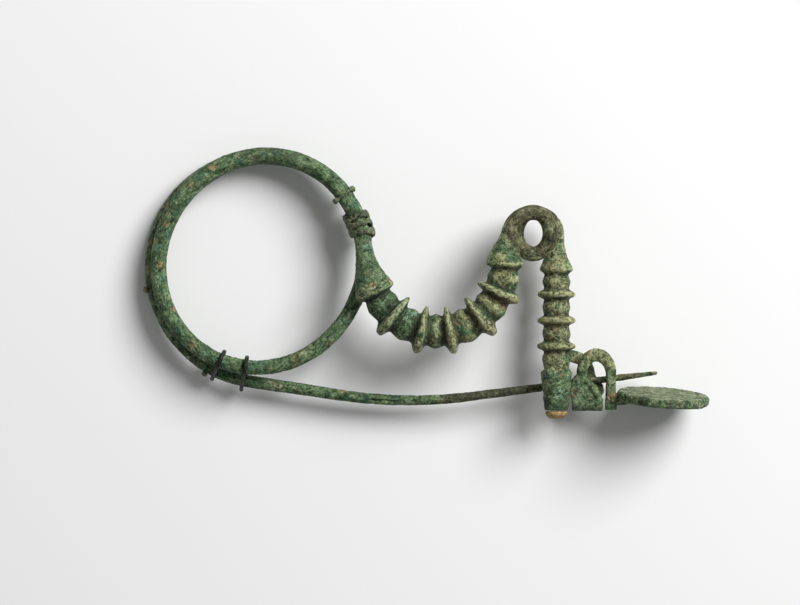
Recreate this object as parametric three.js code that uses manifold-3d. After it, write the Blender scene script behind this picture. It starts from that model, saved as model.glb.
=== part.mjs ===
// A bronze fibula brooch, in millimetres, lying on its side with +Z up.
// One bar of bronze runs from the point of the pin through the spring, the first flare, the bow,
// the second flare and the small loop to the end of the leg. The catch, its arch and the disc foot
// are forged from the same metal. Tie wires hold the two coils of the spring together.
// The bar is turned straight, as a lathe profile, and then bent along its route.
// It is drawn in a flat view first, with the spring's centre at the origin, +X along the brooch,
// +Y up the leg and +Z towards the viewer, and laid down at the end.
import * as THREE from "three";
import { mergeVertices } from "three/addons/utils/BufferGeometryUtils.js";
import Module from "manifold-3d";

const wasm = await Module();
wasm.setup();

const degrees = Math.PI / 180;
const weld = 1e-4;

// Spring: nearly two turns of round bar. The inner coil is a little oval and thins along its length,
// and the outer coil is rounder and drifts outwards
const barDiameter = 4.6;
const outerCoilDiameter = 3.9;
const thinningStart = 100;
const thinningEnd = 300;
const coilGap = 0.3;
const springRadius = 27.7;
const springOval = 0.8;
const ovalAngle = 60;
const ovalFadeStart = 400;
const ovalFadeEnd = 480;
const springAngle = 9.5;
const springSweep = 616.7;
const springDrift = 4.4;
const driftSweep = 197;

// Pin: straight, one slow bend, straight again to its point
const pinRootLength = 23.1;
const pinBendRadius = 127;
const pinBendSweep = 15.8;
const pinFreeLength = 50.5;
const pinRootDiameter = 3.3;
const pinRootTurn = 20;
const pinTaperLength = 102;
const pinNeckDiameter = 1.75;
const pinPointLength = 10;
const pinTipDiameter = 0.9;
const pinTipRound = 0.25;
const pinClearance = 0.4;

// Bow: an arc hung between two flares, with keeled beads between sharp collars
const bowX = 46.7;
const bowY = -0.6;
const bowLift = 2.4;
const bowRadius = 17.9;
const bowStart = 203.1;
const bowEnd = 360.8;
const collarAngles = [229.8, 256.8, 280.7, 309.0, 335.3];
const collarDiameter = 12.7;
const lastCollarDiameter = 12.0;
const collarEdge = 1.7;
const collarBaseShare = 0.66;
const collarBaseReach = 0.3;
const waistReach = 0.45;
const collarShoulder = 0.16;
const collarFlat = 0.33;
const waistDiameter = 7.8;
const beadDiameter = 8.4;
const beadSwell = 1.0;
const firstRimDiameter = 11.0;
const secondRimDiameter = 10.1;
const rimEdge = 1.2;
const rimRound = 0.1;
const rimUndercut = 0.3;
const rimNeck = 0.5;
const firstFlareCurve = 1.7;
const secondFlareCurve = 1.4;
const secondFlareIntoLoop = 2.2;

// Small loop at the top: one and a half turns of thinner bar
const loopX = 72.25;
const loopY = 7.6;
const loopHalfWidth = 4.45;
const loopHalfHeight = 5.5;
const loopSpread = 1.8;
const spreadFadeStart = 20;
const spreadFadeEnd = 150;
const loopBar = 4.0;
const loopGap = 1.1;
const loopTurns = 1.5;

// Leg: straight, with a rim, three collars, keeled beads and a tapering end block
const legRimBelowLoop = 9.3;
const legCollarPitch = 6.93;
const legCollars = 3;
const legRimDiameter = 8.9;
const legCollarDiameter = 10.3;
const legCollarEdge = 1.5;
const legWaistDiameter = 6.6;
const legBeadDiameter = 7.6;
const blockTopDiameter = 8.4;
const blockEndDiameter = 6.5;
const blockLength = 10.1;
const blockNeck = 1.0;
// How the leg widens to its rim and the block narrows to its end: shares of the length and of the change
const legFlare = [[0.3, 0.04], [0.65, 0.37], [0.9, 0.8], [1, 1]];
const blockTaper = [[0, 0], [0.12, 0.16], [0.6, 0.8], [1, 1]];

// Fill in the leg's broken end
const fillDiameter = 5.9;
const fillLength = 2.0;
const fillSocketDiameter = 4.4;
const fillSocketDepth = 1.6;
const fillClearance = 0.3;

// Catch: an arm from the leg, a folded gutter for the pin and an arch over to the foot
const plateFromLeg = 3.6;
const plateWidth = 8.1;
const plateWall = 1.5;
const plateTopBelowLoop = 38.9;
const plateBottomBelowLoop = 47.4;
const foldInset = 1.2;
// Outlines of the plates above the fold and of the arm. A plate's points are shares of its width from
// the left and of its height above its top. The arm's are shares of the way from the leg to the plates:
// across to their right edge, down to their top and back to the middle of the back plate
const frontOutline = [[1.01, 0], [0.85, -0.19], [0.6, 0], [0.22, 0.15], [0, -0.1]];
const backOutline = [[1, 0], [1.16, -0.38], [1.12, -0.19], [0.8, 0.19], [0.3, 0.19], [0, -0.1]];
const armPath = [
  [0.05, -0.03, 0.3],
  [0.3, 0, 0.5],
  [0.5, 0.1, 0.82],
  [0.67, 0.3, 0.98],
  [0.77, 0.9, 1],
  [0.73, 1.44, 1],
];
const armWidth = 3.4;
const armThickness = 1.6;
const armTopBelowLoop = 32.6;
const archInset = 3.3;
const archHalfWidth = 3.85;
const archHeight = 5.0;
const archSpringBelowLoop = 37.4;
const archBarWidth = 3.5;
const archBarThickness = 2.6;
const archLegWidth = 3.2;
const archFootBelowLoop = 47.0;
const archRoot = 2.5;
// The arch's bar swells over its top. Its first leg, up to a share of its length, is thinner
const archSwellEnd = 0.7;
const firstLegEnd = 0.35;
const firstLegShare = 0.65;

// Foot: a flat disc on a short stem
const discDiameter = 24.6;
const discThickness = 2.7;
const discCrown = 0.3;
const discRim = 0.6;
const discDish = 0.1;
const discRimBand = 1.6;
const discFromArch = 13.95;
const discBelowLoop = 43.9;
const discTilt = 7;
const discDroop = 4.4;
const stemDiameter = 3.4;
const stemOverlap = 4.5;
const stemDrop = 0.4;
const stemTaperStart = 0.6;
const stemTipDiameter = 1.8;

// Tie wires: place round the spring, number of turns, and how far apart along the spring the turns are
const tieWidth = 1.5;
const tieThickness = 0.9;
const tieClearance = 0.25;
const tieSkew = 0.5;
const woundTieSpacing = 2.2;
const brokenTieSkew = 1.0;
const brokenTieLean = 70;
const brokenTieTurns = 0.66;
const ringTieTurns = 0.97;
const ring = { turns: ringTieTurns, spacing: tieSkew, roundBothCoils: true };
const stub = { turns: brokenTieTurns, spacing: brokenTieSkew, roundBothCoils: false };
const ties = [
  { ...ring, name: "coil_tie_upper", angle: 39, tone: 0x4d5a44 },
  { ...ring, name: "coil_tie_wound", angle: 21, tone: 0x59614a, turns: 3.1, spacing: woundTieSpacing },
  { ...stub, name: "coil_tie_left", angle: 193, tone: 0x6d6b4c },
  { ...stub, name: "coil_tie_low", angle: 242.6, tone: 0x4b5c4a },
  { ...ring, name: "coil_tie_dark_1", angle: 247.4, tone: 0x23251f },
  { ...ring, name: "coil_tie_dark_2", angle: 261.3, tone: 0x23251f },
];

// How the brooch lies: small flats where it touches what it lies on
const restFlat = 0.25;
const leastStance = 1;

// Fineness of the facets
const barSides = 12;
const stripSides = 10;
const tieSides = 6;
const tieSteps = 18;
const springStep = 8;
const pinSteps = 10;
const armSteps = 8;
const archSteps = 16;
const foldSteps = 8;
const discSides = 40;
const domeSteps = 4;
const flareSteps = 5;
const loopStep = 15;

const coilPitch = (barDiameter + outerCoilDiameter) / 2 + coilGap;
const loopPitch = loopBar + loopGap;
const legX = loopX + loopHalfWidth + loopSpread;
const legZ = bowLift - loopPitch * loopTurns;
const legLength = legRimBelowLoop + legCollarPitch * (legCollars + 1) + blockLength;

// A curve given by a function from 0 to 1.
class Route extends THREE.Curve {
  constructor(pointAt) {
    super();
    this.pointAt = pointAt;
  }
  getPoint(t) {
    return this.pointAt(t);
  }
}

function polar(radius, angle, z = 0) {
  return new THREE.Vector3(
    radius * Math.cos(angle * degrees),
    radius * Math.sin(angle * degrees),
    z,
  );
}

// Distance of the spring's centreline from its centre, and its height, at an angle along the coils.
function springReach(angle) {
  const drifted = (angle - springAngle - springSweep + driftSweep) / driftSweep;
  const oval = springOval * (1 - THREE.MathUtils.smoothstep(angle, ovalFadeStart, ovalFadeEnd));
  const bulge = oval * Math.cos(2 * (angle - ovalAngle) * degrees);
  return springRadius + bulge + springDrift * Math.max(0, drifted) ** 2;
}

function springBarRadius(angle) {
  const thinned = THREE.MathUtils.smoothstep(angle, thinningStart, thinningEnd);
  return (barDiameter + (outerCoilDiameter - barDiameter) * thinned) / 2;
}

function springHeight(angle) {
  return (-coilPitch * (angle - springAngle)) / 360;
}

// A bar turned on the lathe with one ring of vertices for each station, and bent to the stations.
// A station has its point, tangent, normal and radius, and flat, which thins it across the normal.
function bentBar(stations, sides = barSides) {
  const outline = stations.map(({ radius }, i) => new THREE.Vector2(radius, i));
  const turned = new THREE.LatheGeometry(outline, sides);
  const place = turned.getAttribute("position");
  for (let i = 0; i < place.count; i++) {
    const { point, tangent, normal, flat = 1 } = stations[i % stations.length];
    const across = new THREE.Vector3().crossVectors(normal, tangent);
    const bent = point
      .clone()
      .addScaledVector(normal, place.getX(i))
      .addScaledVector(across, place.getZ(i) * flat);
    place.setXYZ(i, bent.x, bent.y, bent.z);
  }
  return turned;
}

// Stations of a bar along a route, from rows of distance, radius and flatness.
function along(route, rows) {
  const length = route.getLength();
  return rows.map(([distance, radius, flat = 1]) => {
    const share = THREE.MathUtils.clamp(distance / length, 0, 1);
    const tangent = route.getTangentAt(share);
    const normal = new THREE.Vector3(0, 0, 1).cross(tangent).negate().normalize();
    return { point: route.getPointAt(share), tangent, normal, radius, flat };
  });
}

// Evenly spaced rows over a length, with the radius given as a function of the share covered.
function evenRows(length, steps, radiusAt) {
  return Array.from({ length: steps + 1 }, (_, i) => [(length * i) / steps, radiusAt(i / steps)]);
}

// Rows for one sharp collar: waist, spreading base, edge, spreading base, waist.
function collarRows(at, diameter, edge, waist, spread) {
  const half = [
    [spread * waistReach, waist / 2],
    [spread * collarBaseReach, (diameter / 2) * collarBaseShare],
    [edge / 2, diameter / 2 - edge * collarShoulder],
    [(edge / 2) * collarFlat, diameter / 2],
  ];
  return [
    ...half.map(([away, radius]) => [at - away, radius]),
    ...half.reverse().map(([away, radius]) => [at + away, radius]),
  ];
}

function solidOf(geometry) {
  geometry.deleteAttribute("normal");
  geometry.deleteAttribute("uv");
  const merged = mergeVertices(geometry, weld);
  return new wasm.Manifold(
    new wasm.Mesh({
      numProp: 3,
      vertProperties: merged.getAttribute("position").array,
      triVerts: new Uint32Array(merged.index.array),
    }),
  );
}

function geometryOf(solid) {
  const mesh = solid.getMesh();
  const geometry = new THREE.BufferGeometry();
  geometry.setAttribute("position", new THREE.BufferAttribute(mesh.vertProperties, 3));
  geometry.setIndex(new THREE.BufferAttribute(mesh.triVerts, 1));
  return geometry;
}

function extruded(points, depth) {
  return new THREE.ExtrudeGeometry(new THREE.Shape(points.map(([x, y]) => new THREE.Vector2(x, y))), {
    depth,
    bevelEnabled: false,
  });
}

// Spring, from the pin's end back to the flare
const springEnd = springAngle + springSweep;
const springRoute = new Route((t) => {
  const angle = springEnd - springSweep * t;
  return polar(springReach(angle), angle, springHeight(angle));
});

// Pin, drawn from its root outwards so that it leaves the spring along the coil's own line.
// It falls just enough to pass behind the leg's block.
const pinRoot = springRoute.getPoint(0);
const pinHeading = Math.atan2(-springRoute.getTangent(0).y, -springRoute.getTangent(0).x);
const pinLength = pinRootLength + pinBendRadius * pinBendSweep * degrees + pinFreeLength;

function pinRadiusAt(fromTip) {
  const neck = pinNeckDiameter / 2;
  if (fromTip < pinPointLength) {
    return pinTipDiameter / 2 + (neck - pinTipDiameter / 2) * (fromTip / pinPointLength);
  }
  const root = pinRootDiameter / 2;
  const share = (fromTip - pinPointLength) / (pinTaperLength - pinPointLength);
  return share < 1 ? neck + (root - neck) * share : root;
}

const pinPastLeg = pinLength - (legX - pinRoot.x);
const pinZAtLeg = legZ - blockTopDiameter / 2 - pinClearance - pinRadiusAt(pinPastLeg);
const pinFall = (pinRoot.z - pinZAtLeg) / (legX - pinRoot.x);

function pinPoint(fromRoot) {
  const bendLength = pinBendRadius * pinBendSweep * degrees;
  const bent = THREE.MathUtils.clamp(fromRoot - pinRootLength, 0, bendLength);
  const turn = bent / pinBendRadius;
  const straight = Math.min(fromRoot, pinRootLength);
  const free = Math.max(0, fromRoot - pinRootLength - bendLength);
  const x =
    straight * Math.cos(pinHeading) +
    pinBendRadius * (Math.sin(pinHeading + turn) - Math.sin(pinHeading)) +
    free * Math.cos(pinHeading + turn);
  const y =
    straight * Math.sin(pinHeading) -
    pinBendRadius * (Math.cos(pinHeading + turn) - Math.cos(pinHeading)) +
    free * Math.sin(pinHeading + turn);
  return new THREE.Vector3(pinRoot.x + x, pinRoot.y + y, pinRoot.z - pinFall * x);
}

const pinRoute = new Route((t) => pinPoint(pinLength * (1 - t)));
const pinRows = [[0, 0], [pinTipRound, pinRadiusAt(pinTipRound)]];
for (let i = 0; i <= pinSteps; i++) {
  const fromTip = pinPointLength + ((pinTaperLength - pinPointLength) * i) / pinSteps;
  pinRows.push([fromTip, pinRadiusAt(fromTip)]);
}

const springRows = evenRows(springRoute.getLength(), Math.round(springSweep / springStep), (t) => {
  const share = Math.min(1, (t * springSweep) / pinRootTurn);
  const full = springBarRadius(springEnd - t * springSweep);
  return full + (pinRootDiameter / 2 - full) * (1 - share);
});

// Bow
const bowRoute = new Route((t) =>
  polar(bowRadius, bowStart + (bowEnd - bowStart) * t, bowLift).add(new THREE.Vector3(bowX, bowY, 0)),
);
const bowMarks = [bowStart, ...collarAngles, bowEnd].map(
  (angle) => (angle - bowStart) * degrees * bowRadius,
);
const rimRows = (diameter) => [
  [0, diameter / 2 - rimRound],
  [rimEdge / 2, diameter / 2],
  [rimEdge, diameter / 2 - rimUndercut],
  [rimEdge + rimNeck, waistDiameter / 2],
];
const bowRows = rimRows(firstRimDiameter);
for (let i = 1; i < bowMarks.length; i++) {
  const keel = (bowMarks[i - 1] + bowMarks[i]) / 2;
  const swell = beadSwell * Math.sin((Math.PI * keel) / bowMarks.at(-1));
  bowRows.push([keel, (beadDiameter + swell) / 2]);
  if (i < bowMarks.length - 1) {
    const diameter = i === collarAngles.length ? lastCollarDiameter : collarDiameter;
    const spread = (bowMarks[i] - bowMarks[i - 1]) / 2;
    bowRows.push(...collarRows(bowMarks[i], diameter, collarEdge, waistDiameter, spread));
  }
}
for (const [away, radius] of rimRows(secondRimDiameter).reverse()) {
  bowRows.push([bowMarks.at(-1) - away, radius]);
}

// Small loop: it turns clockwise and goes away from the viewer
const loopSweep = 360 * loopTurns;
const loopRoute = new Route((t) => {
  const angle = loopSweep * t;
  const fromEnd = Math.min(angle, loopSweep - angle);
  const faded = THREE.MathUtils.smoothstep(fromEnd, spreadFadeStart, spreadFadeEnd);
  const spread = loopSpread * (1 - faded);
  return new THREE.Vector3(
    loopX - (loopHalfWidth + spread) * Math.cos(angle * degrees),
    loopY + loopHalfHeight * Math.sin(angle * degrees),
    bowLift - (loopPitch * angle) / 360,
  );
});

// Flares: smooth bends that join the spring to the bow, and the bow to the small loop
function joiningRoute(before, after) {
  const start = before.getPoint(1);
  const end = after.getPoint(0);
  const handle = start.distanceTo(end) / 3;
  return new THREE.CubicBezierCurve3(
    start,
    start.clone().addScaledVector(before.getTangent(1), handle),
    end.clone().addScaledVector(after.getTangent(0), -handle),
    end,
  );
}

const firstFlareRoute = joiningRoute(springRoute, bowRoute);
const secondFlareRoute = joiningRoute(bowRoute, loopRoute);

const flareRadius = (thin, wide, share, curve) => thin / 2 + ((wide - thin) / 2) * share ** curve;
const firstFlareRows = evenRows(firstFlareRoute.getLength(), flareSteps, (t) =>
  flareRadius(barDiameter, firstRimDiameter, t, firstFlareCurve),
).slice(1, -1);

// The second flare's cone begins a little way round the small loop
const secondFlareLength = secondFlareRoute.getLength() + secondFlareIntoLoop;
const secondFlareRadius = (fromRim) =>
  flareRadius(loopBar, secondRimDiameter, Math.max(0, 1 - fromRim / secondFlareLength), secondFlareCurve);
const secondFlareRows = evenRows(secondFlareRoute.getLength(), flareSteps, (t) =>
  secondFlareRadius(secondFlareRoute.getLength() * t),
).slice(1, -1);
const loopRows = evenRows(loopRoute.getLength(), Math.round(loopSweep / loopStep), (t) =>
  secondFlareRadius(secondFlareRoute.getLength() + loopRoute.getLength() * t),
);

// Leg
const legTop = loopRoute.getPoint(1);
const legRoute = new THREE.LineCurve3(legTop, legTop.clone().add(new THREE.Vector3(0, -legLength, 0)));
const legWidening = (legRimDiameter - loopBar) / 2;
const legRows = legFlare.map(([down, widened]) => [
  legRimBelowLoop * down,
  loopBar / 2 + legWidening * widened,
]);
legRows.push(
  [legRimBelowLoop + rimEdge, legRimDiameter / 2 - rimUndercut],
  [legRimBelowLoop + rimEdge + rimNeck, legWaistDiameter / 2],
);
for (let i = 1; i <= legCollars + 1; i++) {
  const at = legRimBelowLoop + legCollarPitch * i;
  legRows.push([at - legCollarPitch / 2, legBeadDiameter / 2]);
  if (i <= legCollars) {
    legRows.push(
      ...collarRows(at, legCollarDiameter, legCollarEdge, legWaistDiameter, legCollarPitch / 2),
    );
  }
}
const blockTop = legLength - blockLength;
const blockNarrowing = (blockTopDiameter - blockEndDiameter) / 2;
legRows.push([blockTop - blockNeck, legWaistDiameter / 2]);
for (const [down, narrowed] of blockTaper) {
  legRows.push([blockTop + blockLength * down, blockTopDiameter / 2 - blockNarrowing * narrowed]);
}
legRows.push([legLength, 0]);

const wholeBar = solidOf(
  bentBar([
    ...along(pinRoute, pinRows),
    ...along(springRoute, springRows),
    ...along(firstFlareRoute, firstFlareRows),
    ...along(bowRoute, bowRows),
    ...along(secondFlareRoute, secondFlareRows),
    ...along(loopRoute, loopRows),
    ...along(legRoute, legRows),
  ]),
);

// Catch: two plates joined by a fold make a gutter that the pin lies in
const plateLeft = legX + plateFromLeg;
const plateRight = plateLeft + plateWidth;
const plateTop = loopY - plateTopBelowLoop;
const plateBottom = loopY - plateBottomBelowLoop;
const pinAtCatch = pinPoint(plateLeft + plateWidth / 2 - pinRoot.x);
const gutterRadius = pinRadiusAt(pinLength - (plateLeft - pinRoot.x)) + pinClearance;
const foldY = plateBottom + gutterRadius + plateWall;
const frontZ = pinAtCatch.z + gutterRadius;
const backZ = pinAtCatch.z - gutterRadius - plateWall;

// A plate from the fold up, with its outline's first point brought down to the fold
function plate(outline, z) {
  const points = outline.map(([across, up]) => [
    plateLeft + plateWidth * across,
    plateTop + (plateTop - plateBottom) * up,
  ]);
  points[0][1] = foldY;
  return extruded([[plateLeft + foldInset, foldY], ...points], plateWall).translate(0, 0, z);
}

const frontPlate = plate(frontOutline, frontZ);
const backPlate = plate(backOutline, backZ);

// The fold is a half ring seen along the pin
const foldShape = new THREE.Shape()
  .absarc(0, 0, gutterRadius + plateWall, Math.PI, 2 * Math.PI, false)
  .lineTo(gutterRadius, 0)
  .absarc(0, 0, gutterRadius, 2 * Math.PI, Math.PI, true)
  .lineTo(-gutterRadius - plateWall, 0);
const fold = new THREE.ExtrudeGeometry(foldShape, {
  depth: plateWidth - foldInset,
  bevelEnabled: false,
  curveSegments: foldSteps,
})
  .rotateY(Math.PI / 2)
  .translate(plateLeft + foldInset, foldY, pinAtCatch.z);

// The arm leaves the back of the leg and runs down behind the pin into the back plate
const armTop = loopY - armTopBelowLoop;
const armRoute = new THREE.CatmullRomCurve3(
  armPath.map(
    ([across, down, back]) =>
      new THREE.Vector3(
        THREE.MathUtils.lerp(legX, plateRight, across),
        THREE.MathUtils.lerp(armTop, plateTop, down),
        THREE.MathUtils.lerp(legZ, backZ + plateWall / 2, back),
      ),
  ),
);
const armRows = [
  [0, 0],
  ...evenRows(armRoute.getLength(), armSteps, () => armWidth / 2),
  [armRoute.getLength(), 0],
].map(([distance, radius]) => [distance, radius, armThickness / armWidth]);
const arm = bentBar(along(armRoute, armRows), stripSides);

// The arch springs from the front plate, crosses over and comes down beside it to the foot
const archX = plateLeft + archInset + archHalfWidth;
const archY = loopY - archSpringBelowLoop;
const archZ = frontZ + archBarThickness / 2;
const archFoot = loopY - archFootBelowLoop;
const archRise = Math.PI * archHalfWidth;
const archRoute = new Route((t) => {
  const fromStart = t * (archRoot + archRise + (archY - archFoot));
  const turn = THREE.MathUtils.clamp((fromStart - archRoot) / archRise, 0, 1) * Math.PI;
  const down = Math.max(0, fromStart - archRoot - archRise) + Math.max(0, archRoot - fromStart);
  return new THREE.Vector3(
    archX - archHalfWidth * Math.cos(turn),
    archY + archHeight * Math.sin(turn) - down,
    archZ,
  );
});
const archLength = archRoute.getLength();
const archFlat = archBarThickness / archBarWidth;
const archRows = [
  [0, 0, 1],
  ...evenRows(archLength, archSteps, (t) => {
    const swelling = Math.sin(Math.PI * Math.min(1, t / archSwellEnd));
    const leg = t < firstLegEnd ? archLegWidth * firstLegShare : archLegWidth;
    return (leg + (archBarWidth - leg) * swelling) / 2;
  }).map(([distance, radius]) => [distance, radius, archFlat]),
  [archLength, 0, 1],
];
const arch = bentBar(along(archRoute, archRows), stripSides);

// Disc foot, nearly square to the bow, on a short stem from the arch
const discX = archX + archHalfWidth + discFromArch;
const discY = loopY - discBelowLoop;
const discRadius = discDiameter / 2;
const discHalf = discThickness / 2;
const disc = new THREE.LatheGeometry(
  [
    new THREE.Vector2(0, -discHalf),
    new THREE.Vector2(discRadius - discRim, -discHalf + discDish),
    new THREE.Vector2(discRadius, -discHalf + discRim),
    new THREE.Vector2(discRadius, discHalf - discRim),
    new THREE.Vector2(discRadius - discRim, discHalf),
    new THREE.Vector2(discRadius - discRimBand, discHalf - discDish),
    new THREE.Vector2(0, discHalf + discCrown),
  ],
  discSides,
)
  .rotateX(discTilt * degrees)
  .rotateZ(-discDroop * degrees)
  .translate(discX, discY, archZ);

const stemRoute = new THREE.LineCurve3(
  new THREE.Vector3(archX + archHalfWidth, discY - stemDrop, archZ),
  new THREE.Vector3(discX - discRadius + stemOverlap, discY, archZ),
);
const stemLength = stemRoute.getLength();
const stemRows = [
  [0, 0],
  [0, stemDiameter / 2],
  [stemLength * stemTaperStart, stemDiameter / 2],
  [stemLength, stemTipDiameter / 2],
  [stemLength, 0],
];
const stem = bentBar(along(stemRoute, stemRows), stripSides);

// Socket in the leg's broken end, and the fill that sits in it
const legEnd = legRoute.getPoint(1);
const socket = new THREE.CylinderGeometry(
  fillSocketDiameter / 2,
  fillSocketDiameter / 2,
  fillSocketDepth * 2,
  barSides,
).translate(legEnd.x, legEnd.y, legEnd.z);
const fillSeat = legEnd.y - fillClearance;
const fillRows = Array.from({ length: domeSteps + 1 }, (_, i) => {
  const rise = (Math.PI / 2) * (i / domeSteps);
  return new THREE.Vector2((fillDiameter / 2) * Math.sin(rise), -fillLength * Math.cos(rise));
});
const plugRadius = fillSocketDiameter / 2 - fillClearance;
fillRows.push(
  new THREE.Vector2(plugRadius, 0),
  new THREE.Vector2(plugRadius, fillSocketDepth),
  new THREE.Vector2(0, fillSocketDepth),
);
const fill = new THREE.LatheGeometry(fillRows, barSides).translate(legEnd.x, fillSeat, legEnd.z);

const fibula = [frontPlate, backPlate, fold, arm, arch, disc, stem]
  .map(solidOf)
  .reduce((joined, piece) => joined.add(piece), wholeBar)
  .subtract(solidOf(socket));

// A tie wire wound round both coils, or round the outer coil where it is broken off the inner one.
// Seen along the coil, its path is two half circles joined by straights.
function tieSolid({ angle, turns, spacing, roundBothCoils }) {
  const coilAt = (along) => ({ reach: springReach(along), z: springHeight(along) });
  const outer = coilAt(angle + 360);
  const inner = roundBothCoils ? coilAt(angle) : outer;
  const wrapped = roundBothCoils ? [angle, angle + 360] : [angle + 360];
  const thickest = Math.max(...wrapped.map(springBarRadius));
  const wrapRadius = thickest + tieClearance + tieThickness / 2;
  const span = Math.hypot(outer.reach - inner.reach, outer.z - inner.z);
  const lean = roundBothCoils
    ? Math.atan2(outer.z - inner.z, outer.reach - inner.reach)
    : -brokenTieLean * degrees;
  const half = Math.PI * wrapRadius;
  const around = 2 * (half + span);
  const length = around * turns;
  const start = (roundBothCoils ? 1.5 * half + span : half / 2) - length / 2;

  // Middle of the wire and the way out from the coils, at a distance along the wire
  const wireAt = (distance) => {
    const rest = THREE.MathUtils.euclideanModulo(start + distance, around);
    const roundInner = rest > half + span;
    const onStraight = roundInner ? rest - 2 * half - span : rest - half;
    const slide = THREE.MathUtils.clamp(onStraight, 0, span) * (roundInner ? -1 : 1);
    const bend = roundInner ? Math.min(rest - span, 2 * half) : Math.min(rest, half);
    const turn = lean + bend / wrapRadius - Math.PI / 2;
    const centre = roundInner ? inner : outer;
    const drift = spacing * turns * (distance / length - 0.5);
    const outward = polar(1, angle + drift / springRadius / degrees);
    const inPlane = (reach, z) => outward.clone().multiplyScalar(reach).setZ(z);
    return {
      point: inPlane(
        centre.reach + wrapRadius * Math.cos(turn) - slide * Math.cos(lean),
        centre.z + wrapRadius * Math.sin(turn) - slide * Math.sin(lean),
      ),
      out: inPlane(Math.cos(turn), Math.sin(turn)),
    };
  };

  const steps = Math.round(tieSteps * turns);
  const nudge = 0.01;
  const stations = Array.from({ length: steps + 1 }, (_, i) => {
    const distance = (length * i) / steps;
    const { point, out } = wireAt(distance);
    const tangent = wireAt(distance + nudge).point.sub(wireAt(distance - nudge).point).normalize();
    const normal = out.addScaledVector(tangent, -out.dot(tangent)).normalize();
    return { point, tangent, normal, radius: tieThickness / 2, flat: tieWidth / tieThickness };
  });
  const ends = [stations[0], stations.at(-1)].map((station) => ({ ...station, radius: 0 }));
  return solidOf(bentBar([ends[0], ...stations, ends[1]], tieSides));
}

const bronze = new THREE.MeshStandardMaterial({ color: 0x4f6b4d, roughness: 0.75, metalness: 0.25 });
const tan = new THREE.MeshStandardMaterial({ color: 0xa58a4f, roughness: 0.85, metalness: 0 });
const pieces = [
  { name: "fibula", solid: fibula, material: bronze },
  { name: "end_fill", solid: solidOf(fill), material: tan },
  ...ties.map((tie) => ({
    name: tie.name,
    solid: tieSolid(tie),
    material: new THREE.MeshStandardMaterial({ color: tie.tone, roughness: 0.7, metalness: 0.3 }),
  })),
];

// Volume and centre of mass of a closed mesh, from the tetrahedra under its faces.
function massOf(geometry) {
  const place = geometry.getAttribute("position");
  const corners = [0, 1, 2].map(() => new THREE.Vector3());
  const moment = new THREE.Vector3();
  let volume = 0;
  for (let i = 0; i < geometry.index.count; i += 3) {
    corners.forEach((corner, k) => corner.fromBufferAttribute(place, geometry.index.getX(i + k)));
    const part = corners[0].dot(new THREE.Vector3().crossVectors(corners[1], corners[2])) / 6;
    volume += part;
    corners.forEach((corner) => moment.addScaledVector(corner, part / 4));
  }
  return { volume, centre: moment.divideScalar(volume) };
}

// Tips a body about what it stands on until three of its points carry it.
// Gives the turn that lays it down.
function layDown(points, massCentre) {
  const turn = new THREE.Quaternion();
  const turned = (point) => point.clone().applyQuaternion(turn);
  const level = (vector) => vector.setZ(0).normalize();
  const stands = [points.reduce((lowest, point) => (point.z < lowest.z ? point : lowest))];
  for (let i = 0; i < 2; i++) {
    const foot = turned(stands[0]);
    const falls = turned(massCentre).sub(foot);
    if (stands.length === 2) {
      const line = level(turned(stands[1]).sub(foot));
      falls.addScaledVector(line, -falls.dot(line));
    }
    level(falls);
    let least = Math.PI;
    let next = stands[0];
    for (const point of points) {
      const arm = turned(point).sub(foot);
      const ahead = arm.dot(falls);
      const fall = Math.atan2(arm.z, ahead);
      if (ahead > leastStance && fall < least && !stands.includes(point)) {
        least = fall;
        next = point;
      }
    }
    const axis = new THREE.Vector3(0, 0, 1).cross(falls);
    turn.premultiply(new THREE.Quaternion().setFromAxisAngle(axis, least));
    stands.push(next);
  }
  return turn;
}

const drawn = pieces.map((piece) => geometryOf(piece.solid));
const points = drawn.flatMap((geometry) => {
  const place = geometry.getAttribute("position");
  return Array.from({ length: place.count }, (_, i) => new THREE.Vector3().fromBufferAttribute(place, i));
});
const lyingTurn = layDown(points, massOf(drawn[0]).centre);
const extent = new THREE.Box3().setFromPoints(points.map((point) => point.applyQuaternion(lyingTurn)));
const middle = extent.getCenter(new THREE.Vector3());
const seat = new THREE.Vector3(-middle.x, -middle.y, -extent.min.z - restFlat);

// What lies below the resting plane is worn off as small flats
const reach = extent.getSize(new THREE.Vector3());
const below = solidOf(
  new THREE.BoxGeometry(2 * reach.x, 2 * reach.y, 2 * reach.z).translate(0, 0, -reach.z),
);

const brooch = new THREE.Group();
pieces.forEach(({ name, material }, i) => {
  const lying = drawn[i].applyQuaternion(lyingTurn).translate(seat.x, seat.y, seat.z);
  const mesh = new THREE.Mesh(geometryOf(solidOf(lying).subtract(below)), material);
  mesh.name = name;
  brooch.add(mesh);
});

export default brooch;
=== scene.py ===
import math

import bmesh
import bpy
import numpy as np
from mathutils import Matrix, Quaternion, Vector, noise


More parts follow.
